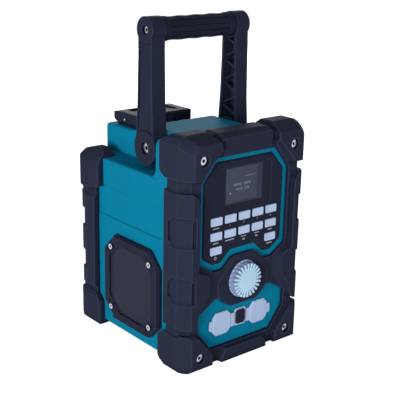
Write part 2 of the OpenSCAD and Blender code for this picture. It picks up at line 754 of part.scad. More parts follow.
// loudspeaker: flange, cone with dust cap, basket and magnet
module speaker_driver(s) {
    r = cone_d / 2;
    color([0.2, 0.2, 0.22]) mirror([s < 0 ? 1 : 0, 0, 0]) translate([side_x, spk_y, spk_z])
        rotate([0, -90, 0]) difference() {
            rotate_extrude($fn = 64)
                polygon([[0, 8], [5, 8.6], [9, 11], [r - 7, 1], [r - 4.5, -1.6], [r - 2, 0.4],
                    [r - 1, -1.4], [r + 2.5, -1.4], [r + 2.5, -0.1], [r, -0.1], [r - 0.5, 3], [22, 18],
                    [21, 20], [21, 34], [9, 34], [9, 36], [0, 36]]);
            // vent through the magnet
            translate([0, 0, 14]) cylinder(r = 3, h = 30);
        }
}
module speaker_screws() {
    color(steel) both() for (y = [-1, 1]) for (z = [-1, 1])
        translate([0, spk_y + y * spk_screw[0], spk_z + z * spk_screw[1]]) difference() {
            union() {
                rod_x(0, 0, 1.6, side_x - 5, tab_x + 0.1);
                rod_x(0, 0, 3, tab_x, hw);
            }
            rod_x(0, 0, 1.4, hw - 1.2, hw + 1, $fn = 6);
        }
}

// ---------- body screws ----------
module pan_screw(len, head_r = 4.5) {
    difference() {
        union() {
            cylinder(r = 2.1, h = len);
            translate([0, 0, -2.8]) cylinder(r = head_r, h = 2.8);
        }
        translate([0, 0, -3]) cylinder(r = 1.9, h = 2.2, $fn = 6);
    }
}
module front_screws() {
    color(steel) for (x = [-screw_x, screw_x]) for (z = screw_zs)
        translate([x, front_y + 5.6, z]) rotate([-90, 0, 0]) pan_screw(24);
}
module rear_screws() {
    color(steel) for (x = [-screw_x, screw_x]) for (z = rear_screw_zs)
        translate([x, rear_y - 4, z]) rotate([90, 0, 0]) pan_screw(18);
}

// ---------- handle ----------
arm_top = grip_z - 8;
recess_x = arm_out - 5;
// outline of an arm between its boss and its cap, g inside its edge
function arm_half(g) = [[14.8 - g, pivot_z + 10 + 1.5 * g], [12.4 - g, pivot_z + 43],
    [10.6 - g, arm_top - 2 * g]];
function arm_side(g) = moved(whole(arm_half(g)), [pivot_y, 0]);

module arm_blank(x0, x1, g) {
    prism_x(arm_side(g), x0, x1);
    if (g == 0) {
        rod_x(pivot_y, pivot_z, boss_r, x0, x1);
        rod_x(pivot_y, grip_z, cap_r, x0, x1);
    }
}
// arm's outline g inside its edge and clear of its round ends
module arm_panel(x0, x1, g) {
    difference() {
        prism_x(arm_side(g), x0, x1);
        rod_x(pivot_y, pivot_z, boss_r - 1.4 + g, x0 - 1, x1 + 1);
        rod_x(pivot_y, grip_z, cap_r - 1.4 + g, x0 - 1, x1 + 1);
    }
}
// zigzag ribs inside the channel of an arm
module arm_ribs(x0, x1) {
    z0 = pivot_z + boss_r + 1;
    n = 7;
    dz = (grip_z - cap_r - z0) / n;
    half = 15;
    t = 1.8;
    intersection() {
        arm_blank(x0, x1, 1);
        for (i = [0:n - 1]) let (s = i % 2 == 0 ? 1 : -1, z = z0 + i * dz)
            prism_x([[pivot_y - half * s, z], [pivot_y + half * s, z + dz],
                [pivot_y + half * s, z + dz + t], [pivot_y - half * s, z + t]], x0, x1);
    }
}
module handle_arm(s) {
    floor_x = arm_out - 3.6;
    color(black) mirror([s < 0 ? 1 : 0, 0, 0]) difference() {
        union() {
            difference() {
                arm_blank(arm_in, arm_out, 0);
                // channel open towards the body
                arm_panel(arm_in - 1, floor_x, 2.6);
            }
            arm_ribs(arm_in + 4, floor_x + 0.2);
            rod_x(pivot_y, pivot_z, boss_r - 2, arm_out - 1, arm_out + 0.6);
        }
        // outer face: a thin rim, a groove inside it and a panel sunk a little
        arm_panel(arm_out - 0.7, arm_out + 2, 1.8);
        difference() {
            arm_panel(arm_out - 1.8, arm_out + 2, 1.8);
            arm_panel(arm_out - 2.8, arm_out + 3, 3);
        }
        // screw recesses and bores
        rod_x(pivot_y, pivot_z, pin_r + 0.15, arm_in - 1, arm_out + 2);
        rod_x(pivot_y, pivot_z, 6.6, recess_x, arm_out + 2);
        rod_x(pivot_y, grip_z, 2.5, arm_in - 1, arm_out + 2);
        rod_x(pivot_y, grip_z, 5, recess_x, arm_out + 2);
    }
}
module handle_grip() {
    n = 12;
    r = grip_d / 2;
    collar = 7.5;
    waves = 2 * (arm_in - collar - 0.5);
    color(black) difference() {
        translate([0, pivot_y, grip_z]) rotate([0, 90, 0]) rotate_extrude()
            polygon(concat([[0, -arm_in], [r, -arm_in], [r, -arm_in + collar]],
                [for (k = [0:20]) let (x = waves * (k / 20 - 0.5)) [r - 0.6 + 0.3 * cos(360 * x / 21), x]],
                [[r, arm_in - collar], [r, arm_in], [0, arm_in]]));
        for (i = [0:n - 1]) translate([-waves / 2 + 1, pivot_y, grip_z]) rotate([i * 360 / n + 15, 0, 0])
            translate([0, -0.7, r - 1.6]) cube([waves - 2, 1.4, 3]);
        rod_x(pivot_y, grip_z, 2.2, -arm_in - 1, -arm_in + 26);
        rod_x(pivot_y, grip_z, 2.2, arm_in - 26, arm_in + 1);
    }
}
module handle_screws() {
    color(steel) both() translate([recess_x, pivot_y, grip_z]) rotate([0, -90, 0]) pan_screw(34, 3.5);
}
module pivot_bolts() {
    color(steel) both() difference() {
        union() {
            rod_x(pivot_y, pivot_z, pin_r, upper_x - 9.5, recess_x + 0.5);
            rod_x(pivot_y, pivot_z, 6, recess_x, recess_x + 2.6);
        }
        rod_x(pivot_y, pivot_z, 2.5, recess_x + 0.8, arm_out, $fn = 6);
    }
}
module pivot_washers() {
    color(steel) both() difference() {
        rod_x(pivot_y, pivot_z, 8.5, upper_x, arm_in - 0.3);
        rod_x(pivot_y, pivot_z, pin_r + 0.1, upper_x - 1, arm_in);
    }
}

// ---------- battery ----------
head_side = [[head_y0 + 0.8, head_z0], [pack_y1 - 3, head_z0], [pack_y1 - 0.5, head_z0 + 1.3],
    [head_y1 - 1.6, head_z0 + 4.6], [head_y1, head_z1 - 2.6], [head_y1 - 1.2, head_z1 - 1.3],
    [head_y1 - 9, head_z1], [head_y0 + 1.8, head_z1], [head_y0, head_z1 - 2]];

module latch_pocket() {
    box(-latch_x - 0.4, latch_x + 0.4, head_y0 - 1, pack_y0 + latch_room, latch_z0 - 0.6, latch_z1 + 0.4);
}
module battery_case() {
    color(black) difference() {
        prism_z(soft([[-pack_x, pack_y0], [pack_x, pack_y0], [pack_x, pack_y1], [-pack_x, pack_y1]], 4),
            pack_z0, head_z0);
        // grooves that slide on the bay's ribs
        both() box(pack_x - groove_depth, pack_x + 1, groove_y0, groove_y1, pack_z0 - 1, low_top_z - 3);
        // slots that take the terminal blades
        for (x = blade_xs) box(x - 0.8, x + 0.8, pack_y0 + 8, pack_y1 - 10, pack_z0 - 1, pack_z0 + 11);
        latch_pocket();
    }
}
module battery_head() {
    color(black) difference() {
        intersection() {
            prism_x(head_side, -head_x, head_x);
            prism_y(soft([[-head_x + 0.6, head_z0], [head_x - 0.6, head_z0], [head_x, head_z1],
                [-head_x, head_z1]], 3.5), head_y0 - 1, head_y1 + 1);
            prism_z(soft([[-head_x, head_y0], [head_x, head_y0], [head_x, head_y1],
                [-head_x, head_y1]], 4), head_z0 - 1, head_z1 + 1);
        }
        latch_pocket();
        // sunk field on the top, along its slope
        prism_x([[head_y0 + 9, head_z1 - 1.1], [head_y1 - 9, head_z1 - 2.1], [head_y1 - 9, head_z1 + 1],
            [head_y0 + 9, head_z1 + 1]], -head_x + 12, head_x - 12);
        both() rod_x(pin_y, pin_z, 1.3, head_x - 8, head_x + 1);
    }
}
// short pins that hold the head on the case
module head_pins() {
    color(steel) both() rod_x(pin_y, pin_z, 1.25, head_x - 7.8, head_x - 0.5);
}
module battery_latch() {
    color(black) difference() {
        union() {
            box(-latch_x, latch_x, head_y0 - 1.4, pack_y0 + 2.6, head_z0 + 0.8, latch_z1);
            // web with the latch's nose at its foot
            prism_x([[pack_y0 + 2.2, latch_z0], [pack_y0 + 2.2, head_z0 + 1.5],
                [pack_y0 + 0.6, head_z0 + 1.5], [pack_y0 + 0.6, latch_z0 + 6],
                [pack_y0 - 0.1, latch_z0 + 4], [pack_y0 - 0.1, latch_z0]], -latch_x + 1.6, latch_x - 1.6);
        }
        // finger grooves on the button
        for (z = [2.8:2:8])
            box(-latch_x + 2, latch_x - 2, head_y0 - 2, head_y0 - 0.8, head_z0 + z, head_z0 + z + 0.8);
    }
}
module battery_terminals() {
    y0 = pack_y0 + 8.5;
    y1 = pack_y1 - 10.5;
    color([0.12, 0.12, 0.13]) box(-24, 24, y0 - 3, y1 + 3, bay_z0, pack_z0 - 0.5);
    color([0.8, 0.65, 0.3]) for (x = blade_xs) box(x - 0.4, x + 0.4, y0, y1, pack_z0 - 0.5, pack_z0 + 9);
}

// ---------- model ----------
front_housing();
rear_housing();
front_bumper();
rear_bumper();
control_panel();
display_lens();
display_module();
key_board();
main_board();
button(0);  // button_1
button(1);  // button_2
button(2);  // button_3
button(3);  // button_4
button(4);  // button_5
button(5);  // button_6
button(6);  // button_7
button(7);  // button_8
button(8);  // button_9
button(9);  // button_10
button(10);  // button_11
button(11);  // button_12
volume_knob();
encoder_shaft();
encoder();
port_cover(-1);  // port_cover_left
port_cover(1);  // port_cover_right
port_strap();
port_clamp();
aux_socket();
usb_socket();
speaker_frame(-1);  // speaker_frame_left
speaker_frame(1);  // speaker_frame_right
speaker_grille(-1);  // speaker_grille_left
speaker_grille(1);  // speaker_grille_right
speaker_driver(-1);  // speaker_driver_left
speaker_driver(1);  // speaker_driver_right
speaker_screws();
front_screws();
rear_screws();
handle_arm(-1);  // handle_arm_left
handle_arm(1);  // handle_arm_right
handle_grip();
handle_screws();
pivot_bolts();
pivot_washers();
battery_case();
battery_head();
head_pins();
battery_latch();
battery_terminals();
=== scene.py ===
"""Looks of a jobsite radio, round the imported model.

Mouldings, rubber, screws, display, key marks, fluted knob, sloped bumper edges and fine grilles.
"""

import json
import math

import bmesh
import bpy
from mathutils import Matrix, Vector


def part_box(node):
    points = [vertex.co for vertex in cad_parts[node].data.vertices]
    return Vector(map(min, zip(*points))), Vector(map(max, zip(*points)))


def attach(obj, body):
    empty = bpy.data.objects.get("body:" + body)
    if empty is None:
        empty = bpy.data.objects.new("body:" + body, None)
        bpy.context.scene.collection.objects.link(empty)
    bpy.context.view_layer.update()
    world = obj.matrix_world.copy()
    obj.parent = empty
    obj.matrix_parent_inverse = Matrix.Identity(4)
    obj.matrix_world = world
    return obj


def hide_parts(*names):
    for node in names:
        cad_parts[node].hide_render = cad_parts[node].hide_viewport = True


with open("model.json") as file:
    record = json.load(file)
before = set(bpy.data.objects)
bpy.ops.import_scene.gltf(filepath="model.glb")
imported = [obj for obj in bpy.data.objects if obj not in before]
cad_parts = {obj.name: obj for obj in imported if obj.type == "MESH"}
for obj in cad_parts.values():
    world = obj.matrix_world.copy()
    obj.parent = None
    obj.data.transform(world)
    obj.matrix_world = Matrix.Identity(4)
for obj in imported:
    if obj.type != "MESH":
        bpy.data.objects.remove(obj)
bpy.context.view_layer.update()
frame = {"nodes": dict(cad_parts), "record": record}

# lengths below are in millimetres unless they are multiplied by MM
MM = 0.001

# sRGB colours of the finishes
TEAL = "#0881a4"
BUMPER_BLACK = "#2b2f42"
HOUSING_BLACK = "#242738"
ARM_BLACK = "#272b3d"
GRIP_BLACK = "#202332"
PALE_BLUE = "#c3d8fb"
KNOB_CYAN = "#c4e8ff"
KNOB_SHADED_LILAC = "#8f9fc8"
COVER_BLUE = "#bacff3"
WINDOW_BLACK = "#242638"
SCREEN_GREY = "#3c4054"
FIELD_GREY = "#4a4e64"
DIGIT_GREY = "#9aa0b8"
PRINT_WHITE = "#c4c4d6"
EMBOSS_SHADOW_BLACK = "#14151f"
GRILLE_BLACK = "#343647"
CONE_BLACK = "#15161c"
ZINC = "#c2c2cd"
SOLDER_GREEN = "#0e5a34"
FLOOR_WHITE = "#f4f4f4"


# ---------- helpers ----------
def linear(hex_colour):
    """The linear RGBA of an sRGB hex colour."""
    values = [int(hex_colour[i:i + 2], 16) / 255 for i in (1, 3, 5)]
    out = [v / 12.92 if v <= 0.04045 else ((v + 0.055) / 1.055) ** 2.4 for v in values]
    return (*out, 1.0)


def shaded(colour, factor):
    """The colour times a factor, as a linear RGBA."""
    return tuple(min(1.0, c * factor) for c in linear(colour)[:3]) + (1.0,)


def add(tree, kind, settings=None, links=None):
    """Adds one shader node, sets its properties and inputs, and links its inputs."""
    node = tree.nodes.new(kind)
    for key, value in (settings or {}).items():
        if isinstance(key, str) and hasattr(node, key):
            setattr(node, key, value)
        else:
            node.inputs[key].default_value = value
    for key, source in (links or {}).items():
        tree.links.new(source, node.inputs[key])
    return node


def new_material(name, settings):
    """A material with one Principled shader; returns it, its tree and the shader."""
    material = bpy.data.materials.new(name)
    material.use_nodes = True
    tree = material.node_tree
    tree.nodes.clear()
    shader = add(tree, "ShaderNodeBsdfPrincipled", settings)
    add(tree, "ShaderNodeOutputMaterial", links={"Surface": shader.outputs["BSDF"]})
    return material, tree, shader


# ---------- materials ----------
PLASTIC_IOR = 1.5
NOISE_ROUGHNESS = 0.55
MOULD_CLOUDS = 38 * MM
SHEET_CLOUDS = 30 * MM
TURNING_MARKS = 0.5 * MM
# the cosine between the bevelled and the plain normal runs over this range across an edge painted with a
# highlight
EDGE_HIGHLIGHT_FROM = 0.997
EDGE_HIGHLIGHT_TO = 0.9
# the share of open sky runs over these ranges from painted shade, darkest in a crevice or socket, to a clear
# face
CREVICE_SHADE_FROM = 0.35
CREVICE_SHADE_TO = 0.95
SOCKET_SHADE_FROM = 0.6
SOCKET_SHADE_TO = 0.97


def moulded(name, colour, roughness, gloss, texture=0.45 * MM, depth=0.02 * MM, spread=0.05, edge=0.5 * MM,
            edge_highlight_gain=1.6, crevice_shade=0.4):
    """Moulded plastic or rubber: cloudy even colour, fine grain, a painted highlight along the edges and
    painted shade in crevices.

    The spark-eroded grain is drawn coarser than the real 0.1 mm, so that it shows.
    """
    material, tree, shader = new_material(
        name, {"Roughness": roughness, "IOR": PLASTIC_IOR, "Specular IOR Level": gloss})
    place = add(tree, "ShaderNodeTexCoord").outputs["Object"]
    clouds = add(tree, "ShaderNodeTexNoise",
                 {"Scale": 1 / MOULD_CLOUDS, "Detail": 3.0, "Roughness": NOISE_ROUGHNESS},
                 {"Vector": place}).outputs["Fac"]
    even = add(tree, "ShaderNodeMix",
               {"data_type": "RGBA", 6: shaded(colour, 1 - spread), 7: shaded(colour, 1 + spread)},
               {0: clouds}).outputs[2]
    # painted shade: the colour darkens in crevices and hollows, where the open sky closes in
    open_sky = add(tree, "ShaderNodeAmbientOcclusion", {"samples": 4, "Distance": 4 * edge}).outputs["AO"]
    clear = add(tree, "ShaderNodeMapRange", {1: CREVICE_SHADE_FROM, 2: CREVICE_SHADE_TO, 3: 0.0, 4: 1.0},
                {0: open_sky}).outputs[0]
    body = add(tree, "ShaderNodeMix", {"data_type": "RGBA", 6: shaded(colour, crevice_shade)},
               {0: clear, 7: even}).outputs[2]
    # painted highlight: convex edges in the open are lightened, standing in for light caught on the rounded
    # edges
    rim = add(tree, "ShaderNodeBevel", {"samples": 6, "Radius": edge}).outputs["Normal"]
    flat = add(tree, "ShaderNodeNewGeometry").outputs["Normal"]
    turned = add(tree, "ShaderNodeVectorMath", {"operation": "DOT_PRODUCT"},
                 {0: rim, 1: flat}).outputs["Value"]
    edge_highlight_mask = add(tree, "ShaderNodeMapRange", {1: EDGE_HIGHLIGHT_FROM, 2: EDGE_HIGHLIGHT_TO, 3: 0.0, 4: 1.0},
                 {0: turned}).outputs[0]
    painted_edge_highlight = add(tree, "ShaderNodeMath", {"operation": "MULTIPLY"}, {0: edge_highlight_mask, 1: open_sky}).outputs[0]
    finish = add(tree, "ShaderNodeMix", {"data_type": "RGBA", 7: shaded(colour, edge_highlight_gain)}, {0: painted_edge_highlight, 6: body})
    tree.links.new(finish.outputs[2], shader.inputs["Base Color"])
    grain = add(tree, "ShaderNodeTexNoise",
                {"Scale": 1 / texture, "Detail": 2.0, "Roughness": NOISE_ROUGHNESS},
                {"Vector": place}).outputs["Fac"]
    bump = add(tree, "ShaderNodeBump", {"Strength": 0.6, "Distance": depth}, {"Height": grain, "Normal": rim})
    tree.links.new(bump.outputs["Normal"], shader.inputs["Normal"])
    return material


def bright_zinc(name):
    """Zinc-plated steel: bright and neutral, with faint turning marks and painted shade that darkens the
    sockets.
    """
    material, tree, shader = new_material(name, {"Metallic": 1.0, "Roughness": 0.3})
    place = add(tree, "ShaderNodeTexCoord").outputs["Object"]
    # painted shade: the colour goes nearly black deep in the sockets, where the open sky closes in
    open_sky = add(tree, "ShaderNodeAmbientOcclusion", {"samples": 6, "Distance": 2.5 * MM}).outputs["AO"]
    clear = add(tree, "ShaderNodeMapRange", {1: SOCKET_SHADE_FROM, 2: SOCKET_SHADE_TO, 3: 0.0, 4: 1.0},
                {0: open_sky}).outputs[0]
    finish = add(tree, "ShaderNodeMix", {"data_type": "RGBA", 6: shaded(ZINC, 0.02), 7: linear(ZINC)},
                 {0: clear})
    tree.links.new(finish.outputs[2], shader.inputs["Base Color"])
    rim = add(tree, "ShaderNodeBevel", {"samples": 4, "Radius": 0.25 * MM}).outputs["Normal"]
    turning = add(tree, "ShaderNodeTexNoise",
                  {"Scale": 1 / TURNING_MARKS, "Detail": 2.0, "Roughness": NOISE_ROUGHNESS},
                  {"Vector": place}).outputs["Fac"]
    bump = add(tree, "ShaderNodeBump", {"Strength": 0.3, "Distance": 0.01 * MM},
               {"Height": turning, "Normal": rim})
    tree.links.new(bump.outputs["Normal"], shader.inputs["Normal"])
    return material


def glossy_sheet(name, colour, roughness, spread=0.06):
    """Flat polished plastic or ink behind it: one colour with a broad, faint cloudiness."""
    material, tree, shader = new_material(
        name, {"Roughness": roughness, "IOR": PLASTIC_IOR, "Specular IOR Level": 0.03})
    place = add(tree, "ShaderNodeTexCoord").outputs["Object"]
    clouds = add(tree, "ShaderNodeTexNoise",
                 {"Scale": 1 / SHEET_CLOUDS, "Detail": 2.0, "Roughness": NOISE_ROUGHNESS},
                 {"Vector": place}).outputs["Fac"]
    finish = add(tree, "ShaderNodeMix",
                 {"data_type": "RGBA", 6: shaded(colour, 1 - spread), 7: shaded(colour, 1 + spread)},
                 {0: clouds})
    tree.links.new(finish.outputs[2], shader.inputs["Base Color"])
    return material


MATERIALS = {
    # satin moulding, the main colour of the radio
    "teal_abs": moulded("teal_moulded_abs", TEAL, 0.65, 0.025, edge_highlight_gain=1.3),
    # thick soft-touch bumpers, dark and even, with a painted highlight along the edges and deeper painted
    # shade in crevices
    "bumper_rubber": moulded("black_moulded_rubber", BUMPER_BLACK, 0.6, 0.015, texture=0.6 * MM,
                             depth=0.04 * MM, edge=1.8 * MM, edge_highlight_gain=2.2, crevice_shade=0.3),
    # harder black mouldings, a little smoother than the rubber
    "black_abs": moulded("black_moulded_abs", HOUSING_BLACK, 0.55, 0.03, edge=0.9 * MM, edge_highlight_gain=3.4),
    # glass-filled nylon of the handle's arms, satin, with a painted highlight along the edges
    "arm": moulded("black_glass_filled_nylon", ARM_BLACK, 0.5, 0.02, edge=0.8 * MM, edge_highlight_gain=3.0),
    # ribbed sleeve of the grip, matte
    "grip_rubber": moulded("soft_grip_rubber", GRIP_BLACK, 0.6, 0.03, edge=0.5 * MM, edge_highlight_gain=2.5),
    # smoked window over the display, smooth and as dark as the panel
    "display_window": glossy_sheet("smoked_polycarbonate", WINDOW_BLACK, 0.12),
    # switched-off glass round the lit field, a smooth blue-grey
    "display": glossy_sheet("display_glass", SCREEN_GREY, 0.2),
    # pale blue-grey keys, slightly milky
    "grey_plastic": moulded("pale_moulded_abs", PALE_BLUE, 0.4, 0.12, spread=0.02, edge=0.3 * MM,
                            edge_highlight_gain=1.12),
    # soft covers of the sockets, duller than the keys
    "grey_rubber": moulded("pale_moulded_rubber", COVER_BLUE, 0.55, 0.1, spread=0.03, edge=0.4 * MM,
                           edge_highlight_gain=1.15),
    # powder coat on the punched sheet, charcoal with a soft sheen
    "grille_steel": moulded("powder_coated_steel", GRILLE_BLACK, 0.5, 0.05, edge=0.1 * MM),
    # felted cone and painted basket, nearly black
    "speaker": moulded("black_paper_cone", CONE_BLACK, 0.7, 0.1),
    # green lacquer over copper, shiny
    "circuit_board": moulded("solder_mask", SOLDER_GREEN, 0.35, 0.5),
    # small black blocks of the sockets
    "black_nylon": moulded("black_nylon", GRIP_BLACK, 0.5, 0.2),
    # screws, bolts and pins
    "bright_steel": bright_zinc("zinc_plated_steel"),
}
# face of the knob, a touch more cyan than the keys, and its duller flank in a darker lilac copy, painted
# shade for the side turned from the light
KNOB_FRONT = moulded("pale_cyan_abs", KNOB_CYAN, 0.4, 0.1, spread=0.02, edge=0.3 * MM, edge_highlight_gain=1.12)
KNOB_SHADED_FLANK = moulded("dull_shaded_pale_abs", KNOB_SHADED_LILAC, 0.5, 0.05, spread=0.02, edge=0.3 * MM, edge_highlight_gain=1.1,
                    crevice_shade=0.75)
# lit field of the display and the pixels on it
LCD_FIELD = glossy_sheet("lit_display_field", FIELD_GREY, 0.2)
LCD_DIGITS = glossy_sheet("display_digits", DIGIT_GREY, 0.3)
# flat ink of the marks under the keys, and the raised marks round the knob drawn as flat dark sheets of
# painted shadow
KEY_PRINT = glossy_sheet("white_pad_print", PRINT_WHITE, 0.5)
PAINTED_MARK_SHADOW = glossy_sheet("raised_mark_shadow", EMBOSS_SHADOW_BLACK, 0.6)


def dress_nodes():
    """Gives every node the material of its slot, and the handle's arms their own."""
    slots = {part["node"]: part["material_slot"] for part in frame["record"]["subparts"]}
    for name, obj in frame["nodes"].items():
        finish = "arm" if name.startswith("handle_arm") else slots[name]
        obj.data.materials.clear()
        obj.data.materials.append(MATERIALS[finish])


dress_nodes()


# ---------- outlines and pieces ----------
# half the thickness of a printed mark
INK = 0.04
# height of a figure over the built-in font's size
FIGURE_RATIO = 0.7


def prism(bm, front, back, front_y, back_y):
    """A closed solid between two outlines in X and Z, one in front of the other."""
    near = [bm.verts.new((x * MM, front_y * MM, z * MM)) for x, z in front]
    far = [bm.verts.new((x * MM, back_y * MM, z * MM)) for x, z in back]
    bm.faces.new(near)
    bm.faces.new(far[::-1])
    for i in range(len(near)):
        j = (i + 1) % len(near)
        bm.faces.new((near[j], near[i], far[i], far[j]))


def between(x0, x1, z0, z1):
    """Outline of a rectangle given by its sides."""
    return [(x0, z0), (x1, z0), (x1, z1), (x0, z1)]


def bar(x, z, width, height):
    """Outline of a rectangle round a middle point."""
    return between(x - width / 2, x + width / 2, z - height / 2, z + height / 2)


def arrow(x, z, size, way):
    """Outline of a triangle that points along X."""
    reach = way * size * 0.5
    rise = size * 0.55
    return [(x - reach, z - rise), (x + reach, z), (x - reach, z + rise)]


def ring_outlines(x, z, radius, width, start, stop, steps=14):
    """Short quadrilaterals that follow an arc of a ring, angles in degrees."""
    outlines = []
    inner, outer = radius - width / 2, radius + width / 2
    for i in range(steps):
        a, b = [math.radians(start + (stop - start) * (i + k) / steps) for k in (0, 1)]
        corners = ((inner, a), (outer, a), (outer, b), (inner, b))
        outlines.append([(x + r * math.cos(t), z + r * math.sin(t)) for r, t in corners])
    return outlines


def numerals(bm, text, x, z, height, front):
    """Adds a number in plain figures, its middle at x and its foot at z."""
    curve = bpy.data.curves.new("figures", "FONT")
    curve.body = text
    curve.size = height * MM / FIGURE_RATIO
    curve.align_x = "CENTER"
    curve.extrude = INK * MM
    curve.resolution_u = 3
    holder = bpy.data.objects.new("figures", curve)
    mesh = bpy.data.meshes.new_from_object(holder)
    upright = Matrix.Rotation(math.pi / 2, 4, "X")
    mesh.transform(Matrix.Translation((x * MM, (front + INK) * MM, z * MM)) @ upright)
    bm.from_mesh(mesh)
    bpy.data.objects.remove(holder)
    bpy.data.meshes.remove(mesh)


def finish_piece(name, bm, material, body="housing"):
    """Makes the object of a mesh that rides on a body."""
    bmesh.ops.recalc_face_normals(bm, faces=bm.faces)
    mesh = bpy.data.meshes.new(name)
    bm.to_mesh(mesh)
    bm.free()
    piece = bpy.data.objects.new(name, mesh)
    bpy.context.scene.collection.objects.link(piece)
    mesh.materials.append(material)
    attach(piece, body)
    return piece


def marks(name, outlines, front, material, figures=()):
    """One piece of thin marks: outlines, and numbers as (text, x, z, height)."""
    bm = bmesh.new()
    for outline in outlines:
        prism(bm, outline, outline, front, front + 2 * INK)
    for text, x, z, height in figures:
        numerals(bm, text, x, z, height, front)
    return finish_piece(name, bm, material)


# ---------- display ----------
LENS_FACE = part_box("display_lens")[0][1] / MM
SCREEN = (-25.6, 23.7, 168.2, 206.0)
FIELD = (-25.6, 16.2, 170.4, 205.2)
# a round icon low on the left, a line near the top and the mast at its end
SCREEN_SIGNS = ((-19.4, 179.6, 1.8, 1.6), (5.5, 195.2, 13.0, 0.4), (14.2, 195.6, 0.5, 1.4))
SCREEN_LINES = (("087.50 - 108.00", -3.6, 186.6, 2.5), ("098.50  12:45", -3.0, 181.6, 2.3))

marks("display_glass", [between(*SCREEN)], LENS_FACE - INK, MATERIALS["display"])
marks("display_field", [between(*FIELD)], LENS_FACE - 1.5 * INK, LCD_FIELD)
marks("display_figures", [bar(*sign) for sign in SCREEN_SIGNS], LENS_FACE - 2 * INK, LCD_DIGITS,
      SCREEN_LINES)


# ---------- marks under the keys ----------
PANEL_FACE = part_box("control_panel")[0][1] / MM
KEYS = [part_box("button_%d" % i) for i in range(1, 13)]
# a key's collar reaches this far below its cap
COLLAR = 1.2
NUMBERED_KEYS = ((1, "1"), (2, "2"), (3, "3"), (4, "4"))
NUMBER_DROP, NUMBER_HEIGHT = 4.1, 2.1
# keys whose printed word is a plain bar, with the bar's width
WORD_KEYS = ((0, 8.0), (5, 7.0), (6, 11.5), (9, 6.0), (11, 7.5))
WORD_DROP, WORD_HEIGHT = 3.2, 0.9
# keys that step backwards and forwards
STEP_KEYS = ((7, -1), (8, 1))
STEP_DROP, STEP_LENGTH, STEP_HEIGHT = 3.0, 7.0, 0.7
ARROW_DROP, ARROW_APART, ARROW_SIZE = 3.2, 0.9, 1.9
POWER_KEY, POWER_DROP = 10, 4.0
POWER_RADIUS, POWER_LINE, POWER_STEM, POWER_STEM_RISE = 1.35, 0.5, 1.6, 1.1
# the open ring of the power symbol runs from and to these degrees
POWER_ARC = (120, 420)


def under(index, drop):
    """A point under a key, drop mm below its cap."""
    low, high = KEYS[index]
    return (low[0] + high[0]) / 2 / MM, low[2] / MM + COLLAR - drop


def key_marks():
    """Outlines and numbers under the keys."""
    figures = [(number, *under(index, NUMBER_DROP), NUMBER_HEIGHT) for index, number in NUMBERED_KEYS]
    outlines = [bar(*under(index, WORD_DROP), width, WORD_HEIGHT) for index, width in WORD_KEYS]
    for index, way in STEP_KEYS:
        x, z = under(index, STEP_DROP)
        outlines.append(bar(x, z, STEP_LENGTH, STEP_HEIGHT))
        for step in (-ARROW_APART, ARROW_APART):
            outlines.append(arrow(x + step, z - ARROW_DROP, ARROW_SIZE, way))
    x, z = under(POWER_KEY, POWER_DROP)
    outlines += ring_outlines(x, z, POWER_RADIUS, POWER_LINE, *POWER_ARC)
    outlines.append(bar(x, z + POWER_STEM_RISE, POWER_LINE, POWER_STEM))
    return outlines, figures


key_outlines, key_figures = key_marks()
marks("key_marks", key_outlines, PANEL_FACE - INK, KEY_PRINT, key_figures)


# ---------- marks round the knob ----------
RING_FACE = -89.55
MINUS_X, PLUS_X, SIGN_Z = -31.2, 29.3, 87.0
SIGN_LENGTH, SIGN_LINE = 2.6, 0.7
TURN_MARK_Z, TURN_MARK_SIZE = 109.6, 1.8
BACK_MARK_X, FORWARD_MARK_X = -4.4, -0.6

# the raised marks are flat dark sheets: painted shadow in place of relief
marks("knob_marks",
      [bar(MINUS_X, SIGN_Z, SIGN_LENGTH, SIGN_LINE),
       bar(PLUS_X, SIGN_Z, SIGN_LENGTH, SIGN_LINE),
       bar(PLUS_X, SIGN_Z, SIGN_LINE, SIGN_LENGTH),
       arrow(BACK_MARK_X, TURN_MARK_Z, TURN_MARK_SIZE, -1),
       arrow(FORWARD_MARK_X, TURN_MARK_Z, TURN_MARK_SIZE, 1)],
      RING_FACE, PAINTED_MARK_SHADOW)


# ---------- volume knob ----------
KNOB_CENTRE = (0.0, 85.0)
KNOB_FACE = -96.5
KNOB_FOOT = -87.1
KNOB_FINS = 24
STEPS_PER_FIN = 10
# half the width of the groove between two fins, as a share of their pitch
GROOVE_HALF = 0.26
# the knob's half section: radius, place in Y, and how deep the groove is cut inward and backward there
KNOB_SECTION = (
    (3.0, KNOB_FACE, 0.0, 0.0),
    (8.5, KNOB_FACE, 0.0, 0.0),
    (11.0, KNOB_FACE, 0.0, 0.3),
    (14.0, KNOB_FACE, 0.0, 1.6),
    (17.3, KNOB_FACE, 0.5, 3.2),
    (18.3, KNOB_FACE + 0.3, 1.6, 3.2),
    (18.6, KNOB_FACE + 1.0, 1.7, 2.8),
    (18.8, KNOB_FACE + 3.0, 1.1, 1.0),
    (19.2, KNOB_FOOT - 2.2, 0.8, 0.0),
    (19.3, KNOB_FOOT - 1.7, 0.0, 0.0),
    (20.0, KNOB_FOOT - 1.4, 0.0, 0.0),
    (20.0, KNOB_FOOT, 0.0, 0.0),
    (4.0, KNOB_FOOT, 0.0, 0.0),
)
# the flank starts behind the face's rounded rim and ends before the foot
FLANK = (KNOB_FACE + 0.9, KNOB_FOOT - 0.1)
# faces whose normal has less than this along Y look sideways
SIDEWAYS = 0.5


def groove(turn):
    """Depth of the V between two fins, 0 to 1, at a turn counted in fins."""
    return max(0.0, 1 - abs((turn % 1) - 0.5) / GROOVE_HALF)


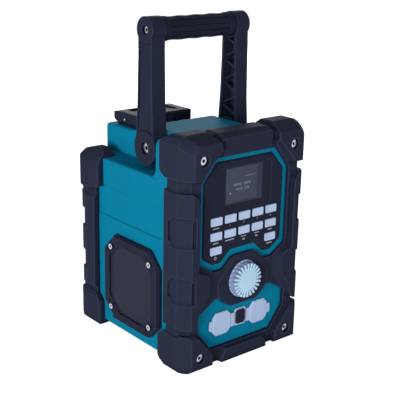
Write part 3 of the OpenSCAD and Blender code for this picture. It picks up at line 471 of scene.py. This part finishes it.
def fluted_knob():
    """A round knob with blade-like fins on its side that run in over its face."""
    bm = bmesh.new()
    count = KNOB_FINS * STEPS_PER_FIN
    rings = []
    for radius, y, inward, backward in KNOB_SECTION:
        ring = []
        for k in range(count):
            cut = groove(k / STEPS_PER_FIN)
            angle = 2 * math.pi * k / count
            reach = radius - inward * cut
            x = KNOB_CENTRE[0] + reach * math.cos(angle)
            z = KNOB_CENTRE[1] + reach * math.sin(angle)
            ring.append(bm.verts.new((x * MM, (y + backward * cut) * MM, z * MM)))
        rings.append(ring)
    for a, b in zip(rings, rings[1:]):
        for k in range(count):
            n = (k + 1) % count
            bm.faces.new((a[k], a[n], b[n], b[k]))
    bm.faces.new(rings[0][::-1])
    bm.faces.new(rings[-1])
    return bm


knob = finish_piece("fluted_knob", fluted_knob(), KNOB_FRONT, "knob")
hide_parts("volume_knob")
knob.data.materials.append(KNOB_SHADED_FLANK)
# the sideways faces of the flank get the darker copy, painted shade on the knob's side
for face in knob.data.polygons:
    if FLANK[0] * MM < face.center[1] < FLANK[1] * MM and abs(face.normal[1]) < SIDEWAYS:
        face.material_index = 1


# ---------- front bumper ----------
# the slope under the top bar: its half width, a height below the bar, and the slope's places in Y and Z
# in front of the bar and at its back
BAR_HALF = 41.0
BAR_CUT_FOOT = 215.0
BAR_FRONT_Y, BAR_FRONT_Z = -95.5, 222.7
BAR_BACK_Y, BAR_BACK_Z = -87.2, 219.2
# the slope on the inner lower edge of the right top block: outlines in front of the block and at its base
BLOCK_FRONT_Y, BLOCK_BASE_Y = -95.6, -88.6
BLOCK_FRONT = ((36.0, 230.0), (45.8, 221.8), (66.0, 199.8), (60.0, 190.0), (30.0, 214.0))
BLOCK_BASE = ((34.0, 226.0), (41.5, 221.8), (60.7, 199.8), (56.0, 192.0), (30.0, 214.0))


def window_wedges():
    """Slim solids that slope the edges above the window back: under the top bar and on the two top blocks."""
    bm = bmesh.new()
    prism(bm, between(-BAR_HALF, BAR_HALF, BAR_CUT_FOOT, BAR_FRONT_Z),
          between(-BAR_HALF, BAR_HALF, BAR_CUT_FOOT, BAR_BACK_Z), BAR_FRONT_Y, BAR_BACK_Y)
    for side in (-1, 1):
        prism(bm, [(side * x, z) for x, z in BLOCK_FRONT], [(side * x, z) for x, z in BLOCK_BASE],
              BLOCK_FRONT_Y, BLOCK_BASE_Y)
    bmesh.ops.triangulate(bm, faces=bm.faces)
    bmesh.ops.recalc_face_normals(bm, faces=bm.faces)
    return bm


def trimmed_bumper():
    """A copy of the front bumper with the wedges cut away."""
    mesh = bpy.data.meshes.new("window_wedges")
    wedges = window_wedges()
    wedges.to_mesh(mesh)
    wedges.free()
    cutter = bpy.data.objects.new("window_wedges", mesh)
    copy = bpy.data.objects.new("bumper_copy", frame["nodes"]["front_bumper"].data.copy())
    for spare in (copy, cutter):
        bpy.context.scene.collection.objects.link(spare)
    trim = copy.modifiers.new("trim", "BOOLEAN")
    trim.operation = "DIFFERENCE"
    trim.solver = "EXACT"
    trim.use_self = True
    trim.object = cutter
    bm = bmesh.new()
    bm.from_object(copy, bpy.context.evaluated_depsgraph_get())
    for spare in (copy, cutter):
        bpy.data.objects.remove(spare)
    return bm


bumper = finish_piece("trimmed_bumper", trimmed_bumper(), MATERIALS["bumper_rubber"])
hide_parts("front_bumper")


# ---------- speaker grilles ----------
HOLE_PITCH = 2.0
HOLE_RADIUS = 0.62
SHEET = 0.5
GRILLE_CENTRE = (-0.5, 67.0)
GRILLE_HALF = (39.4, 40.1)
GRILLE_CORNER = 17.0
GRILLE_PLANE = 79.75
GRILLE_DOME = 0.7
# plain margin along the straight sides and along the cut corners
SIDE_MARGIN = 1.0
CORNER_MARGIN = 1.5


def grille_face(y, z):
    """How far the sheet's outer face stands from the middle plane, gently domed."""
    dome = (1 - (y / GRILLE_HALF[0]) ** 2) * (1 - (z / GRILLE_HALF[1]) ** 2)
    return GRILLE_PLANE + GRILLE_DOME * max(0.0, dome)


def cell_centres():
    """Middle points of the holes, in staggered rows inside the eight-sided opening."""
    row = HOLE_PITCH * math.sqrt(3) / 2
    rows = int(GRILLE_HALF[1] / row)
    columns = int(GRILLE_HALF[0] / HOLE_PITCH) + 1
    for j in range(-rows, rows + 1):
        for i in range(-columns, columns + 1):
            y = (i + abs(j) % 2 / 2) * HOLE_PITCH
            z = j * row
            if abs(y) > GRILLE_HALF[0] - SIDE_MARGIN or abs(z) > GRILLE_HALF[1] - SIDE_MARGIN:
                continue
            if abs(y) + abs(z) > sum(GRILLE_HALF) - GRILLE_CORNER - CORNER_MARGIN:
                continue
            yield y, z


def perforated_sheet(side):
    """A sheet of six-sided cells, each with a punched hole, on the left (-1) or right (1)."""
    bm = bmesh.new()
    joints = {}

    def point(y, z, inward=0.0):
        key = (round(y, 3), round(z, 3), inward)
        if key not in joints:
            x = side * (grille_face(y, z) - inward)
            joints[key] = bm.verts.new((x * MM, (y + GRILLE_CENTRE[0]) * MM, (z + GRILLE_CENTRE[1]) * MM))
        return joints[key]

    cell = HOLE_PITCH / math.sqrt(3)
    turns = [math.radians(60 * k + 30) for k in range(6)]
    for y, z in cell_centres():
        outer = [point(y + cell * math.cos(t), z + cell * math.sin(t)) for t in turns]
        edge = [point(y + HOLE_RADIUS * math.cos(t), z + HOLE_RADIUS * math.sin(t)) for t in turns]
        back = [point(y + HOLE_RADIUS * math.cos(t), z + HOLE_RADIUS * math.sin(t), SHEET) for t in turns]
        for a in range(6):
            b = (a + 1) % 6
            bm.faces.new((outer[a], outer[b], edge[b], edge[a]))
            bm.faces.new((edge[a], edge[b], back[b], back[a]))
    return bm


for word, side in (("left", -1), ("right", 1)):
    sheet = finish_piece("grille_sheet_" + word, perforated_sheet(side), MATERIALS["grille_steel"])
    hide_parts("speaker_grille_" + word)


# ---------- stage ----------
CAMERA_PLACE = Vector((-586.2, -714.4, 439.5)) * MM
CAMERA_AZIMUTH = math.radians(-40.01)
CAMERA_ELEVATION = math.radians(17.52)
CAMERA_ROLL = math.radians(1.2)
LENS_LENGTH = 80.0
SENSOR_WIDTH = 36.0
# in metres: the point that the lamps face, about the middle of the radio, and half the floor's width
LIGHT_TARGET = Vector((0, 0, 0.17))
FLOOR_HALF = 6.0
FLOOR_LIFT = 0.86
ROOM_LIGHT = 0.2
WHITE = (1, 1, 1, 1)


def make_camera():
    """The camera, from its place, its two angles and its roll."""
    back = Vector((math.sin(CAMERA_AZIMUTH) * math.cos(CAMERA_ELEVATION),
                   -math.cos(CAMERA_AZIMUTH) * math.cos(CAMERA_ELEVATION), math.sin(CAMERA_ELEVATION)))
    level = Vector((math.cos(CAMERA_AZIMUTH), math.sin(CAMERA_AZIMUTH), 0))
    upright = back.cross(level)
    right = level * math.cos(CAMERA_ROLL) + upright * math.sin(CAMERA_ROLL)
    up = upright * math.cos(CAMERA_ROLL) - level * math.sin(CAMERA_ROLL)
    data = bpy.data.cameras.new("camera")
    data.lens = LENS_LENGTH
    data.sensor_width = SENSOR_WIDTH
    camera = bpy.data.objects.new("camera", data)
    turn = Matrix((right, up, back)).transposed().to_4x4()
    camera.matrix_world = Matrix.Translation(CAMERA_PLACE) @ turn
    bpy.context.scene.collection.objects.link(camera)
    bpy.context.scene.camera = camera


def make_light(name, toward, distance, size, level):
    """A soft round lamp, in metres; level is what it adds to a white surface that faces it."""
    away = Vector(toward).normalized()
    data = bpy.data.lights.new(name, "AREA")
    data.shape = "DISK"
    data.size = size
    data.energy = level * (math.pi * distance) ** 2
    light = bpy.data.objects.new(name, data)
    turn = away.to_track_quat("Z", "Y").to_matrix().to_4x4()
    light.matrix_world = Matrix.Translation(LIGHT_TARGET + away * distance) @ turn
    bpy.context.scene.collection.objects.link(light)


def white_to_camera(tree, plain, shown):
    """Mixes two shaders: shown for camera, glossy and transmitted rays, plain for the rest."""
    path = add(tree, "ShaderNodeLightPath")
    either = add(tree, "ShaderNodeMath", {"operation": "MAXIMUM"},
                 {0: path.outputs["Is Camera Ray"], 1: path.outputs["Is Glossy Ray"]})
    seen = add(tree, "ShaderNodeMath", {"operation": "MAXIMUM"},
               {0: either.outputs[0], 1: path.outputs["Is Transmission Ray"]})
    return add(tree, "ShaderNodeMixShader", links={0: seen.outputs[0], 1: plain, 2: shown}).outputs[0]


def make_floor():
    """A wide paper floor that looks white and keeps the object's shadow."""
    mesh = bpy.data.meshes.new("floor")
    corners = [(-FLOOR_HALF, -FLOOR_HALF, 0), (FLOOR_HALF, -FLOOR_HALF, 0),
               (FLOOR_HALF, FLOOR_HALF, 0), (-FLOOR_HALF, FLOOR_HALF, 0)]
    mesh.from_pydata(corners, [], [(0, 1, 2, 3)])
    floor = bpy.data.objects.new("floor", mesh)
    bpy.context.scene.collection.objects.link(floor)
    material = bpy.data.materials.new("white_paper_floor")
    material.use_nodes = True
    tree = material.node_tree
    tree.nodes.clear()
    matte = add(tree, "ShaderNodeBsdfDiffuse", {"Color": linear(FLOOR_WHITE)})
    lift = add(tree, "ShaderNodeEmission", {"Color": WHITE, "Strength": FLOOR_LIFT})
    glow = add(tree, "ShaderNodeAddShader", links={0: matte.outputs[0], 1: lift.outputs[0]})
    add(tree, "ShaderNodeOutputMaterial",
        links={"Surface": white_to_camera(tree, matte.outputs[0], glow.outputs[0])})
    mesh.materials.append(material)


def make_world():
    """A dim room that lights the object, and white where it is looked at."""
    world = bpy.data.worlds.new("studio")
    bpy.context.scene.world = world
    world.use_nodes = True
    tree = world.node_tree
    tree.nodes.clear()
    room = add(tree, "ShaderNodeBackground", {"Color": WHITE, "Strength": ROOM_LIGHT})
    white = add(tree, "ShaderNodeBackground", {"Color": WHITE, "Strength": 1.0})
    add(tree, "ShaderNodeOutputWorld",
        links={"Surface": white_to_camera(tree, room.outputs[0], white.outputs[0])})


make_camera()
make_floor()
make_world()
make_light("left_softbox", (-0.86, -0.45, 0.06), 2.0, 1.0, 0.87)
make_light("front_fill", (0.3, -0.95, 0.08), 2.2, 1.2, 0.19)
make_light("back_light", (0.55, 0.8, 0.25), 2.2, 1.2, 0.34)
bpy.context.scene.view_settings.view_transform = "Standard"
